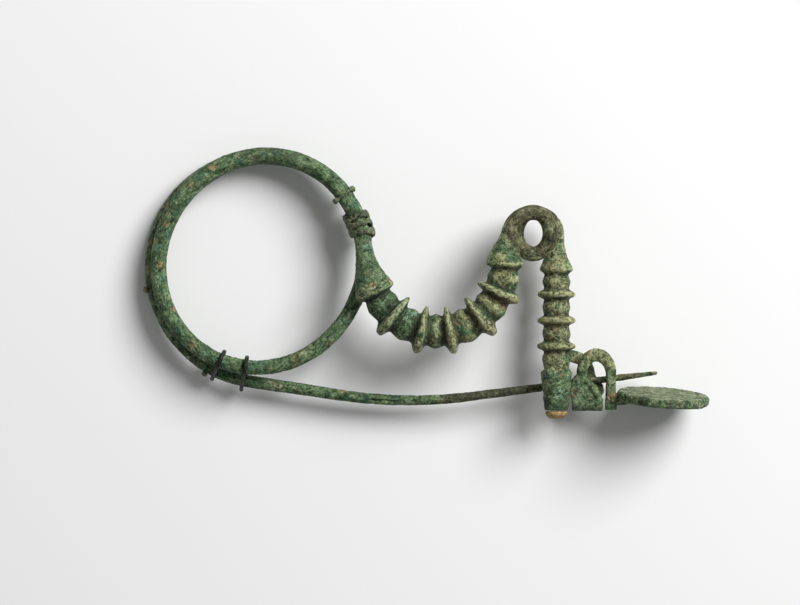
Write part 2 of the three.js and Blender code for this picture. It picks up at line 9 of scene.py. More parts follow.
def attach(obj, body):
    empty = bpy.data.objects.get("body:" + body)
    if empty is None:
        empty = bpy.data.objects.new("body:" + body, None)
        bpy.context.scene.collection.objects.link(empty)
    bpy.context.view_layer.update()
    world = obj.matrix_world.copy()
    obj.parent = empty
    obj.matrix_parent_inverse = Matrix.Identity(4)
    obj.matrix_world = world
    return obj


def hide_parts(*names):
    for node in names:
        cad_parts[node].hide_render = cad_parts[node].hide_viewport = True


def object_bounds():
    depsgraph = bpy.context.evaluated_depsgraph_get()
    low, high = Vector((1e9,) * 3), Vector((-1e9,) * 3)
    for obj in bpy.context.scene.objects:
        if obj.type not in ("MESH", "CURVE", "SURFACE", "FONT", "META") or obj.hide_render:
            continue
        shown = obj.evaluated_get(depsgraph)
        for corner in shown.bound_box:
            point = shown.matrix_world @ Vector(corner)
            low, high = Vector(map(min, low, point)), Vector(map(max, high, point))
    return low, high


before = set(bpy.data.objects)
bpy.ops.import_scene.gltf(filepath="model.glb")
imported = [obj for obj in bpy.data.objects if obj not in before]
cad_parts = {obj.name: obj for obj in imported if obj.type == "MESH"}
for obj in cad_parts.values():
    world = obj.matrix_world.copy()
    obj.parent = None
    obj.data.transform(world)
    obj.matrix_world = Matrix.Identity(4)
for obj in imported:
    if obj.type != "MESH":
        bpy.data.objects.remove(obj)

cad_low, cad_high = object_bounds()

# Spring and pin: one hammered bronze bar, wound nearly twice round and drawn out as a thin pin that
# runs back under the bow to the catch. Sizes here and below are millimetres in a flat drawing with
# the spring's centre as its origin and +Z towards the viewer.
bar_diameter, outer_coil_diameter = 4.6, 3.9
thinning_start, thinning_end = 100, 300
coil_pitch = (bar_diameter + outer_coil_diameter) / 2 + 0.3
spring_radius, spring_oval, oval_angle = 27.7, 0.8, 60
spring_start, spring_sweep = 9.5, 616.7
spring_drift, drift_sweep = 4.4, 197
oval_fades_from, oval_fades_to = 400, 480
pin_root_length, pin_free_length = 23.1, 50.5
pin_bend_radius, pin_bend = 127, math.radians(15.8)
pin_root_diameter, pin_neck_diameter, pin_tip_diameter = 3.3, 1.75, 0.9
pin_taper_length, pin_point_length = 102, 10
pin_clearance = 0.4
pin_root_turn = 20
leg_x, leg_z = 78.5, -5.25
block_top_diameter = 8.4
bar_sides, bar_step = 40, 0.38


def ease(value, low, high):
    """Rises smoothly from 0 to 1 between two values."""
    share = np.clip((value - low) / (high - low), 0, 1)
    return share * share * (3 - 2 * share)


def spring_reach(angle):
    oval = spring_oval * (1 - ease(angle, oval_fades_from, oval_fades_to))
    drifted = (angle - spring_start - spring_sweep + drift_sweep) / drift_sweep
    bulge = oval * np.cos(np.radians(2 * (angle - oval_angle)))
    return spring_radius + bulge + spring_drift * np.clip(drifted, 0, None) ** 2


def spring_height(angle):
    return -coil_pitch * (angle - spring_start) / 360


def spring_point(angle):
    turn, reach = np.radians(angle), spring_reach(angle)
    return np.stack([reach * np.cos(turn), reach * np.sin(turn), spring_height(angle)], -1)


def spring_bar_radius(angle):
    thinned = ease(angle, thinning_start, thinning_end)
    return (bar_diameter + (outer_coil_diameter - bar_diameter) * thinned) / 2


spring_end = spring_start + spring_sweep
pin_root = spring_point(spring_end)
leaving = spring_point(spring_end) - spring_point(spring_end - 0.5)
pin_heading = -math.atan2(-leaving[1], leaving[0])
pin_bend_length = pin_bend_radius * pin_bend
pin_length = pin_root_length + pin_bend_length + pin_free_length


def pin_radius(from_tip):
    marks = [0, 0.3, pin_point_length, pin_taper_length, pin_length]
    widths = [0.2, pin_tip_diameter, pin_neck_diameter, pin_root_diameter, pin_root_diameter]
    return np.interp(from_tip, marks, widths) / 2


# The pin falls just enough to pass behind the leg's block
pin_past_leg = pin_length - (leg_x - pin_root[0])
pin_z_at_leg = leg_z - block_top_diameter / 2 - pin_clearance - pin_radius(pin_past_leg)
pin_fall = (pin_root[2] - pin_z_at_leg) / (leg_x - pin_root[0])


def pin_point(from_root):
    turn = np.clip(from_root - pin_root_length, 0, pin_bend_length) / pin_bend_radius
    straight = np.minimum(from_root, pin_root_length)
    free = np.clip(from_root - pin_root_length - pin_bend_length, 0, None)
    bend_x = np.sin(pin_heading + turn) - np.sin(pin_heading)
    bend_y = np.cos(pin_heading) - np.cos(pin_heading + turn)
    x = straight * np.cos(pin_heading) + pin_bend_radius * bend_x + free * np.cos(pin_heading + turn)
    y = straight * np.sin(pin_heading) + pin_bend_radius * bend_y + free * np.sin(pin_heading + turn)
    return pin_root + np.stack([x, y, -pin_fall * x], -1)


def even(points, step, *others):
    """A route with its points at even distances, the distances, and other values along it."""
    run = np.concatenate([[0], np.cumsum(np.linalg.norm(np.diff(points, axis=0), axis=1))])
    at = np.linspace(0, run[-1], int(round(run[-1] / step)) + 1)
    route = np.stack([np.interp(at, run, points[:, k]) for k in range(3)], 1)
    return (route, at, *[np.interp(at, run, value) for value in others])


def unit(vectors):
    return vectors / np.linalg.norm(vectors, axis=-1, keepdims=True)


def cloud(points, size, octaves=4, seed=0.0):
    """Cloudy unevenness between about -1 and 1, with lumps of a size in millimetres."""
    shift = Vector((seed, 1.7 * seed, -seed))
    flat = points.reshape(-1, 3) / size
    values = [noise.fractal(Vector(point) + shift, 0.9, 2.1, octaves) for point in flat]
    return np.array(values).reshape(points.shape[:-1])


def corroded(points):
    """Height of the corroded skin: slow swells, fine grain, and scattered pits and crusts."""
    swell = cloud(points, 5.0, 2, 3.1)
    grain = cloud(points, 1.1, 3, 11.3)
    pits = cloud(points, 1.9, 3, 27.9)
    return 0.07 * swell + 0.07 * grain - 0.35 * ease(pits, 0.42, 0.9) + 0.12 * ease(-pits, 0.5, 0.9)


def ring_faces(rings, sides):
    """Faces of a tube of rings, with a fan over each end."""
    corner = np.arange(rings * sides).reshape(rings, sides)
    after = np.roll(corner, -1, axis=1)
    walls = np.stack([corner[:-1], after[:-1], after[1:], corner[1:]], -1).reshape(-1, 4)
    first, last = rings * sides, rings * sides + 1
    start = [(first, b, a) for a, b in zip(corner[0], after[0])]
    end = [(last, a, b) for a, b in zip(corner[-1], after[-1])]
    return walls.tolist() + start + end


def bent_bar(route, radius, sides, normal=None, flat=1.0):
    """Points on the skin of a bar with a radius for each ring, or for each ring and side, and the
    way out at each point, which is longer than 1 across a bar wider than it is thick."""
    tangent = unit(np.gradient(route, axis=0))
    if normal is None:
        normal = unit(np.cross(tangent, (0, 0, 1)))
    across = np.cross(normal, tangent)
    turn = 2 * math.pi * np.arange(sides) / sides
    out = normal[:, None] * np.cos(turn)[:, None] + across[:, None] * np.sin(turn)[:, None] * flat
    radius = radius if np.ndim(radius) == 2 else np.array(radius)[:, None]
    return route[:, None] + out * np.broadcast_to(radius, (len(route), sides))[..., None], out


def smoothed(values, spread):
    """Values along a bar, evened out over a number of rings."""
    reach = np.arange(-3 * spread, 3 * spread + 1)
    weight = np.exp(-0.5 * (reach / spread) ** 2)
    padded = np.pad(values, 3 * spread, mode="edge")
    return np.convolve(padded, weight / weight.sum(), mode="valid")


# Stains seen from above, by kind: place in the drawing, radius and strength
stains = {
    "ochre": [
        (-17.9, -21.9, 1.6, 1.0), (-26.9, -0.8, 1.5, 0.9), (-30.6, -1.6, 1.5, 1.0), (29.2, -6.0, 1.6, 1.0),
        (33.8, -3.8, 1.8, 0.8), (27.0, -8.6, 1.5, 0.8), (36.2, -7.6, 1.4, 0.6), (10.2, 25.9, 2.0, 0.5),
        (-20.0, 20.6, 2.2, 0.9), (-26.1, 15.3, 1.7, 0.9), (-29.0, 5.2, 1.6, 0.9), (-25.3, 10.6, 1.8, 0.8),
        (-13.3, 26.0, 1.8, 0.6), (8.3, -26.3, 2.8, 0.8), (17.2, -21.0, 2.0, 0.8), (-22.8, -12.5, 1.5, 0.9),
        (4.4, -31.9, 1.6, 0.9), (21.2, -34.0, 1.6, 0.6), (22.6, 10.5, 1.6, 0.6), (82.5, -33.0, 1.5, 0.7),
        (88.3, -24.2, 1.7, 0.8), (93.5, -36.0, 1.7, 1.0), (59.8, -17.0, 2.2, 0.7), (64.0, -10.0, 2.4, 0.6),
        (76.5, -1.6, 2.2, 0.6), (79.8, -30.1, 1.0, 1.0), (87.3, -36.4, 0.6, 1.0), (47.5, -19.8, 2.2, 0.4),
    ],
    "mint": [
        (80.0, -35.4, 2.6, 0.8), (22.0, -14.2, 3.5, 0.5), (-27.0, 8.0, 4.0, 0.4), (34.0, -9.8, 3.0, 0.6),
        (88.3, -28.8, 1.7, 0.9), (82.2, -34.0, 2.4, 0.5), (29.8, 4.0, 3.4, 0.7), (-10.5, -25.4, 3.5, 0.5),
        (4.5, -26.6, 3.0, 0.4), (108.0, -36.6, 4.0, 0.3), (38.8, -13.0, 4.0, 0.8), (45.0, -18.0, 4.0, 0.6),
        (61.0, -18.0, 2.6, 0.4), (69.0, 2.0, 2.0, 0.3),
    ],
    "dark": [
        (24.0, 12.0, 3.0, 0.7), (27.6, 6.6, 2.4, 0.5), (54.0, -36.5, 7.0, 0.8), (66.0, -35.0, 7.0, 0.9),
        (43.0, -37.0, 3.0, 0.5), (101.5, -37.0, 1.6, 0.9), (-9.0, -28.8, 3.0, 0.5), (84.0, -26.0, 3.0, 0.5),
        (116.3, -35.1, 0.7, 1.0), (2.0, 29.5, 9.0, 0.65), (75.5, -37.6, 2.0, 0.9), (80.5, -38.6, 3.0, 0.8),
        (70.8, 12.5, 4.0, 0.5), (76.0, 6.0, 3.0, 0.4),
    ],
}


def stain_at(points, kind):
    strength = np.zeros(points.shape[:-1])
    for x, y, radius, share in stains[kind]:
        away = np.hypot(points[..., 0] - x, points[..., 1] - y) / radius
        strength = np.maximum(strength, share * (1 - ease(away, 0.55, 1.25)))
    return strength


def olive_at(points):
    """The greenish spring gives way to olive over the bow and the leg, but hardly on the leg's
    block, the catch and the disc, which lie lowest in the drawing."""
    olive_from_x, olive_to_x, fades_from_y, fades_to_y = 30, 50, -27.5, -31.0
    along = ease(points[..., 0], olive_from_x, olive_to_x)
    return along * (0.1 + 0.9 * ease(points[..., 1], fades_to_y, fades_from_y))


def brown_at(points):
    """The small loop and the far part of the pin, low down and behind the rest, are browner."""
    x, y, z = points[..., 0], points[..., 1], points[..., 2]
    brown_x, brown_y = 72.25, 8.6
    loop_share = 1 - ease(np.hypot(x - brown_x, y - brown_y), 6.0, 9.0)
    pin_share = ease(x, 25, 60) * (1 - ease(y, -30, -28)) * (1 - ease(z, -8.5, -7.5))
    return np.maximum(loop_share, 0.8 * pin_share)


# The drawing is tipped a little, so that the spring, the left tie and the disc carry the brooch. The
# turn is the same as the solids'.
lying_turn = Quaternion((0.998545, -0.044731, -0.030093, 0.001199))
lying_shift = Vector((-44.227, 5.763, 10.775))
above_floor = 0.00001


def laid(points):
    """Points of the drawing laid down in the frame, in metres."""
    turned = points @ np.array(lying_turn.to_matrix()).T
    return (turned + np.array(lying_shift)) * 0.001


def face_outwards(mesh):
    """Turns all faces of a closed mesh outwards."""
    shell = bmesh.new()
    shell.from_mesh(mesh)
    bmesh.ops.recalc_face_normals(shell, faces=shell.faces)
    shell.to_mesh(mesh)
    shell.free()


def skinned(name, points, faces, straight, finish, **marks):
    """A smooth mesh laid down in the frame, with its marks for the finish, kept within the part.
    The straight places are those of the metal before it was bent."""
    low = np.array(cad_low)
    low[2] = max(low[2], above_floor)
    place = np.clip(laid(points), low, np.array(cad_high))
    mesh = bpy.data.meshes.new(name)
    mesh.from_pydata(place.tolist(), [], faces)
    marks.update(olive=olive_at(points))
    marks.update({kind: stain_at(points, kind) for kind in stains})
    for mark, values in marks.items():
        mesh.attributes.new(mark, "FLOAT", "POINT").data.foreach_set("value", values.astype(np.float32))
    vectors = mesh.attributes.new("straight", "FLOAT_VECTOR", "POINT").data
    vectors.foreach_set("vector", straight.astype(np.float32).ravel())
    face_outwards(mesh)
    mesh.shade_smooth()
    mesh.materials.append(finish)
    piece = bpy.data.objects.new(name, mesh)
    bpy.context.scene.collection.objects.link(piece)
    return piece


def bar_object(name, route, radius, sides, finish, relief=1.0, normal=None, flat=1.0, spread=6,
               crevice_marks=None, drawn=1.0):
    """A bent bar with its corroded skin, closed at both ends. The bar's mean radius is evened out
    over a spread of rings, and its streaks run along it where drawn is below 1, round it above."""
    skin, out = bent_bar(route, radius, sides, normal, flat)
    height = relief * corroded(skin)
    # The crevice marks, where given, are painted shade between the coils and in the grooves beside the rims
    crevice = np.zeros(height.shape) if crevice_marks is None else crevice_marks(skin)
    skin = skin + unit(out) * height[..., None]
    width = np.array(radius) if np.ndim(radius) == 2 else np.array(radius)[:, None] + 0 * height
    mean = smoothed(width.mean(axis=1), spread)
    proud = width + height - mean[:, None]
    turn = 2 * math.pi * np.arange(sides) / sides
    run = np.concatenate([[0], np.cumsum(np.linalg.norm(np.diff(route, axis=0), axis=1))])
    straight = np.stack([drawn * run[:, None] + 0 * width, width * np.cos(turn), width * np.sin(turn)], -1)
    ends = np.array([[0, 0, 0], [run[-1], 0, 0]])
    return skinned(
        name,
        np.concatenate([skin.reshape(-1, 3), route[:1], route[-1:]]),
        ring_faces(len(route), sides),
        np.concatenate([straight.reshape(-1, 3), ends]),
        finish,
        proud=np.append(proud.ravel(), [0, 0]),
        crevice=np.append(crevice.ravel(), [0, 0]),
        pale=np.zeros(proud.size + 2),
        brown=np.append(brown_at(skin).ravel(), [0, 0]),
    )


class Shade:
    """A socket of a finish. Plain arithmetic on it adds Math nodes."""

    def __init__(self, tree, socket=None):
        self.tree, self.socket = tree, socket

    def node(self, kind, settings=None, sockets=None, output=0):
        """One node: its type, its settings, and its sockets' values or links."""
        made = self.tree.nodes.new(kind)
        for name, value in (settings or {}).items():
            if name == "stops":
                stops = made.color_ramp.elements
                while len(stops) < len(value):
                    stops.new(0.5)
                for stop, (position, colour) in zip(stops, value):
                    stop.position, stop.color = position, (*colour, 1)
            else:
                setattr(made, name, value)
        for name, value in (sockets or {}).items():
            if isinstance(value, Shade):
                self.tree.links.new(value.socket, made.inputs[name])
            else:
                made.inputs[name].default_value = value
        return Shade(self.tree, made.outputs[output])

    def sum(self, operation, first, second):
        return self.node("ShaderNodeMath", {"operation": operation}, {0: first, 1: second})

    def __add__(self, other):
        return self.sum("ADD", self, other)

    def __radd__(self, other):
        return self.sum("ADD", other, self)

    def __sub__(self, other):
        return self.sum("SUBTRACT", self, other)

    def __rsub__(self, other):
        return self.sum("SUBTRACT", other, self)

    def __mul__(self, other):
        return self.sum("MULTIPLY", self, other)

    def __rmul__(self, other):
        return self.sum("MULTIPLY", other, self)

    def between(self, low, high):
        """0 below one value, 1 above the other, smooth in between."""
        return self.node("ShaderNodeMapRange", {"interpolation_type": "SMOOTHSTEP"},
                         {"Value": self, "From Min": low, "From Max": high})

    def mix(self, under, over):
        """The under colour where this is 0 and the over colour where it is 1."""
        colours = [c if isinstance(c, Shade) else (*c, 1) for c in (under, over)]
        return self.node("ShaderNodeMix", {"data_type": "RGBA"},
                         {0: self, 6: colours[0], 7: colours[1]}, output=2)

    def ramp(self, *stops):
        return self.node("ShaderNodeValToRGB", {"stops": stops}, {0: self})

    def speckle(self, place, size, detail=4.0, rough=0.6, seed=0.0):
        """Cloudy noise with lumps of a size in millimetres."""
        return self.node("ShaderNodeTexNoise", {"noise_dimensions": "4D"},
                         {"Vector": place, "W": seed, "Scale": 1 / size, "Detail": detail,
                          "Roughness": rough})

    def bump(self, strength, depth):
        """Fine relief from this height, with its depth in metres."""
        return self.node("ShaderNodeBump", None, {"Height": self, "Strength": strength, "Distance": depth})

    def mark(self, name):
        """A mark painted on the mesh."""
        return self.node("ShaderNodeAttribute", {"attribute_name": name}, output=2)


def new_finish(name):
    """An empty finish: its material, the maker of its nodes, the place on the piece in millimetres
    and its shader."""
    material = bpy.data.materials.new(name)
    material.use_nodes = True
    tree = material.node_tree
    shader = tree.nodes["Principled BSDF"]
    maker = Shade(tree)
    corner = maker.node("ShaderNodeTexCoord", output=3)
    place = maker.node("ShaderNodeVectorMath", {"operation": "SCALE"}, {0: corner, "Scale": 1000})
    return material, maker, place, shader


def plug(maker, shader, **sockets):
    """Links what varies to the shader's own sockets."""
    for name, value in sockets.items():
        maker.tree.links.new(value.socket, shader.inputs[name.replace("_", " ")])


def verdigris(name):
    """Matt green patina with teal, tan and mint patches, turning olive and pale where the bow and leg were
    handled, the pale keels partly a painted highlight, and brown on the loop and pin, with earth in the
    olive hollows, painted shade in the hollows and crevices and painted light on the pale mark."""
    material, maker, place, shader = new_finish(name)
    straight = maker.node("ShaderNodeAttribute", {"attribute_name": "straight"}, output=1)
    mottle = maker.speckle(place, 2.4, 6, 0.70, 4.1)
    fleck = maker.speckle(straight, 0.9, 5, 0.68, 8.7)
    grain = maker.speckle(straight, 0.4, 3, 0.6, 12.9)
    cloud_one = maker.speckle(place, 4.5, 6, 0.66, 31.7)
    cloud_two = maker.speckle(place, 3.2, 6, 0.70, 21.7)
    cloud_three = maker.speckle(place, 2.6, 6, 0.72, 55.3)
    proud = maker.mark("proud")
    tone = 0.35 * mottle + 0.33 * fleck + 0.32 * grain

    green = tone.ramp(
        (0.41, (0.010, 0.022, 0.008)), (0.46, (0.034, 0.066, 0.026)), (0.50, (0.076, 0.130, 0.055)),
        (0.55, (0.145, 0.220, 0.104)), (0.62, (0.330, 0.440, 0.260)))
    teal = tone.ramp(
        (0.41, (0.006, 0.026, 0.014)), (0.48, (0.024, 0.080, 0.046)), (0.55, (0.080, 0.190, 0.116)),
        (0.62, (0.230, 0.420, 0.280)))
    colour = (0.7 * (5 * cloud_two - 2.55).between(0.0, 0.45)).mix(green, teal)
    olive = tone.ramp(
        (0.41, (0.022, 0.025, 0.008)), (0.46, (0.098, 0.110, 0.043)), (0.50, (0.210, 0.230, 0.105)),
        (0.55, (0.350, 0.375, 0.190)), (0.62, (0.560, 0.570, 0.340)))
    olive_share = (1.0 * maker.mark("olive") + 6 * cloud_one - 3.55).between(0.0, 0.5)
    colour = olive_share.mix(colour, olive)
    brown = tone.ramp(
        (0.41, (0.010, 0.010, 0.003)), (0.47, (0.042, 0.044, 0.017)), (0.52, (0.114, 0.112, 0.053)),
        (0.57, (0.205, 0.200, 0.108)), (0.64, (0.340, 0.350, 0.220)))
    colour = (1.3 * maker.mark("brown") + 3 * cloud_two - 1.9).between(0.0, 0.6).mix(colour, brown)

    earth = fleck.ramp(
        (0.40, (0.060, 0.045, 0.018)), (0.50, (0.190, 0.135, 0.060)), (0.60, (0.400, 0.285, 0.140)))
    crevice_marks = (0.1 - 1 * proud).between(0.0, 0.6) * maker.mark("olive")
    stained = (0.9 * maker.mark("ochre") + 0.5 * crevice_marks + 6 * cloud_three - 3.6).between(0.0, 0.5)
    colour = (0.75 * stained).mix(colour, earth)
    bloom = (1.3 * maker.mark("mint") + 5 * fleck + 2.5 * cloud_one - 4.6).between(0.0, 0.6)
    mint = grain.ramp((0.40, (0.070, 0.210, 0.135)), (0.60, (0.300, 0.480, 0.340)))
    colour = (0.75 * bloom).mix(colour, mint)
    # Worn keels and edges, paler, partly a painted highlight on the proud parts
    worn_and_highlit = (proud.between(0.05, 0.9) + 6 * fleck - 3.5).between(0.0, 0.9)
    colour = (0.6 * worn_and_highlit).mix(colour, (0.510, 0.490, 0.260))
    # Painted light: the pale mark lightens the disc's top face, and the back plate and arm behind the catch
    painted_light_tone = tone.ramp(
        (0.43, (0.050, 0.062, 0.027)), (0.50, (0.155, 0.180, 0.100)), (0.58, (0.360, 0.395, 0.240)))
    colour = (0.9 * maker.mark("pale") + 6 * cloud_one - 3.3).between(0.0, 0.6).mix(colour, painted_light_tone)

    sooty = (1.1 * maker.mark("dark") + 4 * mottle - 2.5).between(0.0, 0.6)
    colour = (0.75 * sooty).mix(colour, (0.022, 0.026, 0.014))
    pitted = (0.6 * fleck + 0.4 * grain).between(0.44, 0.37)
    colour = (0.75 * pitted).mix(colour, (0.010, 0.013, 0.007))
    # Painted shade: near black where the skin sinks below the bar's mean, broken up by noise
    hollow_shade = (1.05 - 1.7 * proud - 2.4 * fleck).between(0.0, 1.0)
    colour = (0.75 * hollow_shade).mix(colour, (0.010, 0.013, 0.004))
    # Painted shade: near black along the crevice marks, between the coils and in the grooves beside the rims
    colour = (0.95 * maker.mark("crevice")).mix(colour, (0.006, 0.007, 0.004))

    height = 0.5 * fleck + 0.25 * grain + 0.4 * mottle
    shader.inputs["Specular IOR Level"].default_value = 0.3
    plug(maker, shader, Base_Color=colour, Roughness=0.5 + 0.3 * mottle, Normal=height.bump(0.9, 0.0009))
    return material


bronze = verdigris("bronze_patina_skin")

from_root = np.linspace(pin_length, 0, 400)
coil_angles = np.linspace(spring_end, spring_start, 1600)
pin_widths = pin_radius(pin_length - from_root)
root_share = np.clip((spring_end - coil_angles) / pin_root_turn, 0, 1)
coil_widths = pin_root_diameter / 2 + (spring_bar_radius(coil_angles) - pin_root_diameter / 2) * root_share
spring_route, spring_run, spring_widths, ring_angles = even(
    np.concatenate([pin_point(from_root), spring_point(coil_angles)[1:]]),
    bar_step,
    np.concatenate([pin_widths, coil_widths[1:]]),
    np.concatenate([np.full(len(from_root), spring_end), coil_angles[1:]]),
)


def shade_between_coils(skin):
    """Painted shade where one coil lies close against the other."""
    beside = np.where(ring_angles < spring_start + 360, ring_angles + 360, ring_angles - 360)
    within = (beside > spring_start) & (beside < spring_end)
    away = np.linalg.norm(skin - spring_point(beside)[:, None], axis=-1)
    clear = away - spring_bar_radius(beside)[:, None]
    return within[:, None] * (1 - ease(clear, 0.35, 1.5))


# A lengthwise crack in the pin, with a step across the bar at its start
side_turn = 2 * math.pi * np.arange(bar_sides) / bar_sides
skin_radius = spring_widths[:, None] + np.zeros(bar_sides)
crack_start_x, crack_end_x, crack_depth, crack_width = 28.8, 39.2, 0.55, 0.16
crack_opens_over, crack_closes_over, crack_turn = 0.3, 4, math.radians(100)
step_turn, step_depth = 0.6, 0.3
pin_x = spring_route[:, 0][:, None]
on_pin = (spring_run < pin_length)[:, None]
opened = ease(pin_x, crack_start_x, crack_start_x + crack_opens_over)
not_closed = 1 - ease(pin_x, crack_end_x - crack_closes_over, crack_end_x)
wander = 0.12 * np.sin(pin_x * 1.3)
nearness = np.exp(-(((side_turn - crack_turn)[None] - wander) / crack_width) ** 2)
skin_radius = skin_radius - crack_depth * on_pin * opened * not_closed * nearness
beside_crack = (side_turn < crack_turn) & (side_turn > step_turn)
at_step = np.exp(-((pin_x - crack_start_x) / crack_opens_over) ** 2)
skin_radius = skin_radius - step_depth * on_pin * at_step * beside_crack

# Fine lines cut across the spring, mostly on its lower side
line_angles = [
    233, 240.5, 242.2, 244, 252, 254.2, 263.5, 265.6, 268, 270.5, 273.8, 281, 176.5, 178.4, 181]
line_depth, line_width = 0.14, 0.33
for line_angle in line_angles:
    at_line = np.exp(-((ring_angles - line_angle) / line_width) ** 2)
    skin_radius = skin_radius - line_depth * at_line[:, None]
spring = bar_object("spring_and_pin", spring_route, skin_radius, bar_sides, bronze,
                    crevice_marks=shade_between_coils, drawn=0.7)
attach(spring, "root")
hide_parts("fibula")

# Bow: the thick middle of the same casting, bent down in an arc between two flares. Keeled beads
# and thin sharp collars were cut into it, and their edges are worn and nicked.
bow_x, bow_y, bow_lift, bow_radius = 46.7, -0.6, 2.4, 17.9
bow_start, bow_end = 203.1, 360.8
collar_angles = [229.8, 256.8, 280.7, 309.0, 335.3]
collar_diameters = [12.7, 12.7, 12.7, 12.7, 12.0]
collar_edge, collar_base_share, collar_base_reach, waist_reach = 1.7, 0.66, 0.3, 0.45
waist_diameter, bead_diameter, bead_swell = 7.8, 8.4, 1.0
first_rim_diameter, second_rim_diameter, rim_edge = 11.0, 10.1, 1.2
loop_y, loop_half_width, loop_half_height, loop_spread = 7.6, 4.45, 5.5, 1.8
loop_x = leg_x - loop_half_width - loop_spread
loop_bar, loop_sweep = 4.0, 540
loop_pitch = loop_bar + 1.1
flare_into_loop = 2.2
bow_sides, bow_step = 72, 0.24


def collar_rows(at, diameter, edge, waist, spread):
    """Distance and radius over one collar: waist, spreading base, thin edge, base, waist."""
    base, rim = diameter / 2 * collar_base_share, diameter / 2
    half = [(spread * waist_reach, waist / 2), (spread * collar_base_reach, base),
            (edge / 2, rim - edge * 0.16), (edge / 6, rim)]
    before = [(at - away, radius) for away, radius in half]
    return before + [(at + away, radius) for away, radius in half[::-1]]


def joining(start, start_way, end, end_way):
    """A smooth bend from one bar's end to the next one's start."""
    t = np.linspace(0, 1, 120)[:, None]
    handle = np.linalg.norm(end - start) / 3
    one, two = start + start_way * handle, end - end_way * handle
    return (1 - t) ** 3 * start + 3 * (1 - t) ** 2 * t * one + 3 * (1 - t) * t * t * two + t ** 3 * end


def bow_point(angle):
    turn = np.radians(angle)
    return np.stack([bow_x + bow_radius * np.cos(turn), bow_y + bow_radius * np.sin(turn),
                     bow_lift + 0 * turn], -1)


def loop_point(angle):
    spread = loop_spread * (1 - ease(np.minimum(angle, loop_sweep - angle), 20, 150))
    turn = np.radians(angle)
    return np.stack([loop_x - (loop_half_width + spread) * np.cos(turn),
                     loop_y + loop_half_height * np.sin(turn), bow_lift - loop_pitch * angle / 360], -1)


bow_arc = bow_point(np.linspace(bow_start, bow_end, 600))
loop_turn = loop_point(np.linspace(0, loop_sweep, 1200))
coil_end = spring_point(np.array([spring_start + 0.5, spring_start]))
first_flare = joining(coil_end[1], unit(coil_end[1] - coil_end[0]),
                      bow_arc[0], unit(bow_arc[1] - bow_arc[0]))
second_flare = joining(bow_arc[-1], unit(bow_arc[-1] - bow_arc[-2]),
                       loop_turn[0], unit(loop_turn[1] - loop_turn[0]))


def run_of(points):
    return np.linalg.norm(np.diff(points, axis=0), axis=1).sum()


flare_one, bow_length, flare_two = run_of(first_flare), run_of(bow_arc), run_of(second_flare)
flare_shares = np.linspace(0, 1, 12)
first_rim, second_rim, bow_waist = first_rim_diameter / 2, second_rim_diameter / 2, waist_diameter / 2
bow_rows = [(flare_one * share, bar_diameter / 2 + (first_rim - bar_diameter / 2) * share ** 1.7)
            for share in flare_shares[:-1]]
bow_rows += [(flare_one + at, radius) for at, radius in
             ((0, first_rim - 0.1), (rim_edge / 2, first_rim), (rim_edge * 0.8, first_rim - 0.3),
              (rim_edge + 0.2, bow_waist - 0.5), (rim_edge + 0.8, bow_waist - 0.3))]
collars_at = [math.radians(angle - bow_start) * bow_radius
              for angle in (bow_start, *collar_angles, bow_end)]
for i in range(1, len(collars_at)):
    keel = (collars_at[i - 1] + collars_at[i]) / 2
    swell = bead_swell * math.sin(math.pi * keel / collars_at[-1])
    bow_rows.append((flare_one + keel, (bead_diameter + swell) / 2))
    if i < len(collars_at) - 1:
        bow_rows += collar_rows(flare_one + collars_at[i], collar_diameters[i - 1], collar_edge,
                                waist_diameter, (collars_at[i] - collars_at[i - 1]) / 2)
bow_finish = flare_one + bow_length
bow_rows += [(bow_finish - at, radius) for at, radius in
             ((rim_edge + 0.8, bow_waist - 0.3), (rim_edge + 0.2, bow_waist - 0.4),
              (rim_edge * 0.8, second_rim - 0.3), (rim_edge / 2, second_rim), (0.1, second_rim - 0.1))]


def cone_radius(from_rim):
    """The second flare is nearly a straight cone, which runs on a little way into the loop."""
    share = np.clip(1 - from_rim / (flare_two + flare_into_loop), 0, 1)
    return loop_bar / 2 + (second_rim_diameter - loop_bar) / 2 * share ** 1.4


bow_rows += [(bow_finish + flare_two * share, cone_radius(flare_two * share))
             for share in flare_shares[1:]]


def turned_skin(route, run, rows, sides, step, wobble):
    """Radius for each ring and side from rows of distance and radius, made uneven as handwork is:
    collars waver along the bar, their edges are nicked and nothing is quite round."""
    edge_spread, nick_depth, out_of_round = 2.2, 0.75, 0.02
    rows = np.array(rows)
    profile = smoothed(np.interp(run, rows[:, 0], rows[:, 1]), 1)
    core, _ = bent_bar(route, profile, sides)
    waver = wobble * cloud(core, 6.0, 2, 41.0)
    skin = np.interp(run[:, None] + waver, run, profile)
    nicks = ease(cloud(core, 1.7, 3, 57.0), 0.25, 0.8)
    edge = ease(skin - smoothed(profile, int(edge_spread / step))[:, None], 0.5, 1.6)
    return skin * (1 + out_of_round * cloud(core, 7.0, 1, 63.0)) - nick_depth * nicks * edge


groove_width, groove_beside_edge = 0.32, 0.35


def groove_shade_beside(run, rims, skin):
    """Painted shade, here and there, in the grooves on both sides of the rims."""
    rims = np.array(rims)
    near = np.exp(-((run[:, None] - rims) / groove_width) ** 2).max(axis=1)
    return 0.85 * near[:, None] * ease(cloud(skin, 2.2, 2, 71.0), -0.9, 0.3)


